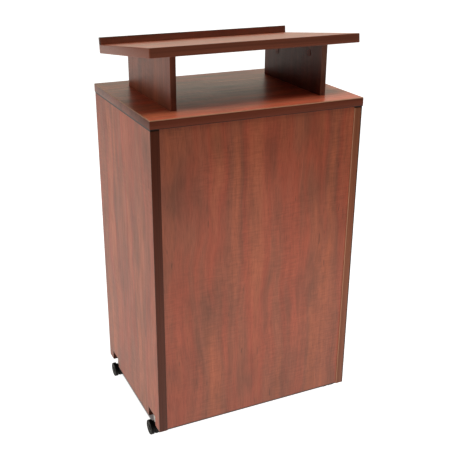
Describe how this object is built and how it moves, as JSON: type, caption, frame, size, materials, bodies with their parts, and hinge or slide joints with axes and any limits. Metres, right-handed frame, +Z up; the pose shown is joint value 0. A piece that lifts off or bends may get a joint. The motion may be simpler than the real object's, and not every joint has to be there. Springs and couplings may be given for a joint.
{
  "type": "lectern podium",
  "caption": "Mobile laminate lectern: box cabinet with open back and shelf, uprights carrying a sloped reading top with paper lip, on swivel casters.",
  "frame": {"origin": "on the floor under the middle of the cabinet, midway between its front and rear and between its sides", "axes": "+Z up, -Y towards the audience, +Y towards the speaker, +X to the right as the audience sees it"},
  "size_m": [0.6252, 0.464, 1.124],
  "materials": {
    "cherry_laminate": "semi-gloss printed cherry laminate, grain vertical on the panels and across the tops",
    "edge_band": "dark red-brown edge band, satin",
    "caster_nylon": "black moulded nylon, satin",
    "zinc_steel": "bright zinc-plated steel",
    "cast_zinc": "die-cast zinc, dull",
    "insert_brass": "plain turned brass",
    "beech": "fluted beech dowel, unfinished"
  },
  "bodies": {
    "cabinet": {"left_side_panel": "cherry_laminate", "right_side_panel": "cherry_laminate", "front_panel": "cherry_laminate", "cabinet_top": "cherry_laminate", "bottom_panel": "cherry_laminate", "adjustable_shelf": "cherry_laminate", "left_upright": "cherry_laminate", "right_upright": "cherry_laminate", "reading_top": "cherry_laminate", "paper_lip": "cherry_laminate", "left_side_edge_bands": "edge_band", "right_side_edge_bands": "edge_band", "front_panel_edge_band": "edge_band", "cabinet_top_edge_bands": "edge_band", "bottom_panel_edge_band": "edge_band", "shelf_edge_band": "edge_band", "left_upright_edge_bands": "edge_band", "right_upright_edge_bands": "edge_band", "reading_top_edge_bands": "edge_band", "paper_lip_edge_bands": "edge_band", "cabinet_cam_locks": "cast_zinc", "cabinet_cam_bolts": "zinc_steel", "cabinet_dowels": "beech", "upright_cam_locks": "cast_zinc", "upright_cam_covers": "edge_band", "upright_cam_bolts": "zinc_steel", "upright_dowels": "beech", "upright_screws": "zinc_steel", "paper_lip_screws": "zinc_steel", "shelf_pins": "zinc_steel", "caster_inserts": "insert_brass", "front_left_caster_stem": "zinc_steel", "front_right_caster_stem": "zinc_steel", "rear_left_caster_stem": "zinc_steel", "rear_right_caster_stem": "zinc_steel"},
    "front_left_caster": {"front_left_caster_housing": "caster_nylon", "front_left_caster_axle": "zinc_steel"},
    "front_left_outer_wheel": {"front_left_outer_wheel": "caster_nylon"},
    "front_left_inner_wheel": {"front_left_inner_wheel": "caster_nylon"},
    "front_right_caster": {"front_right_caster_housing": "caster_nylon", "front_right_caster_axle": "zinc_steel"},
    "front_right_outer_wheel": {"front_right_outer_wheel": "caster_nylon"},
    "front_right_inner_wheel": {"front_right_inner_wheel": "caster_nylon"},
    "rear_left_caster": {"rear_left_caster_housing": "caster_nylon", "rear_left_caster_axle": "zinc_steel"},
    "rear_left_outer_wheel": {"rear_left_outer_wheel": "caster_nylon"},
    "rear_left_inner_wheel": {"rear_left_inner_wheel": "caster_nylon"},
    "rear_right_caster": {"rear_right_caster_housing": "caster_nylon", "rear_right_caster_axle": "zinc_steel"},
    "rear_right_outer_wheel": {"rear_right_outer_wheel": "caster_nylon"},
    "rear_right_inner_wheel": {"rear_right_inner_wheel": "caster_nylon"}
  },
  "joints": [
    {"name": "front_left_swivel", "type": "hinge", "parent": "cabinet", "child": "front_left_caster", "pos_m": [-0.293, -0.1685, 0.03], "axis": [0, 0, 1], "continuous": true},
    {"name": "front_left_outer_wheel_spin", "type": "hinge", "parent": "front_left_caster", "child": "front_left_outer_wheel", "pos_m": [-0.293, -0.1565, 0.022], "axis": [1, 0, 0], "continuous": true},
    {"name": "front_left_inner_wheel_spin", "type": "hinge", "parent": "front_left_caster", "child": "front_left_inner_wheel", "pos_m": [-0.293, -0.1565, 0.022], "axis": [1, 0, 0], "continuous": true},
    {"name": "front_right_swivel", "type": "hinge", "parent": "cabinet", "child": "front_right_caster", "pos_m": [0.293, -0.1685, 0.03], "axis": [0, 0, 1], "continuous": true},
    {"name": "front_right_outer_wheel_spin", "type": "hinge", "parent": "front_right_caster", "child": "front_right_outer_wheel", "pos_m": [0.293, -0.1565, 0.022], "axis": [1, 0, 0], "continuous": true},
    {"name": "front_right_inner_wheel_spin", "type": "hinge", "parent": "front_right_caster", "child": "front_right_inner_wheel", "pos_m": [0.293, -0.1565, 0.022], "axis": [1, 0, 0], "continuous": true},
    {"name": "rear_left_swivel", "type": "hinge", "parent": "cabinet", "child": "rear_left_caster", "pos_m": [-0.293, 0.1685, 0.03], "axis": [0, 0, 1], "continuous": true},
    {"name": "rear_left_outer_wheel_spin", "type": "hinge", "parent": "rear_left_caster", "child": "rear_left_outer_wheel", "pos_m": [-0.293, 0.1805, 0.022], "axis": [1, 0, 0], "continuous": true},
    {"name": "rear_left_inner_wheel_spin", "type": "hinge", "parent": "rear_left_caster", "child": "rear_left_inner_wheel", "pos_m": [-0.293, 0.1805, 0.022], "axis": [1, 0, 0], "continuous": true},
    {"name": "rear_right_swivel", "type": "hinge", "parent": "cabinet", "child": "rear_right_caster", "pos_m": [0.293, 0.1685, 0.03], "axis": [0, 0, 1], "continuous": true},
    {"name": "rear_right_outer_wheel_spin", "type": "hinge", "parent": "rear_right_caster", "child": "rear_right_outer_wheel", "pos_m": [0.293, 0.1805, 0.022], "axis": [1, 0, 0], "continuous": true},
    {"name": "rear_right_inner_wheel_spin", "type": "hinge", "parent": "rear_right_caster", "child": "rear_right_inner_wheel", "pos_m": [0.293, 0.1805, 0.022], "axis": [1, 0, 0], "continuous": true}
  ]
}
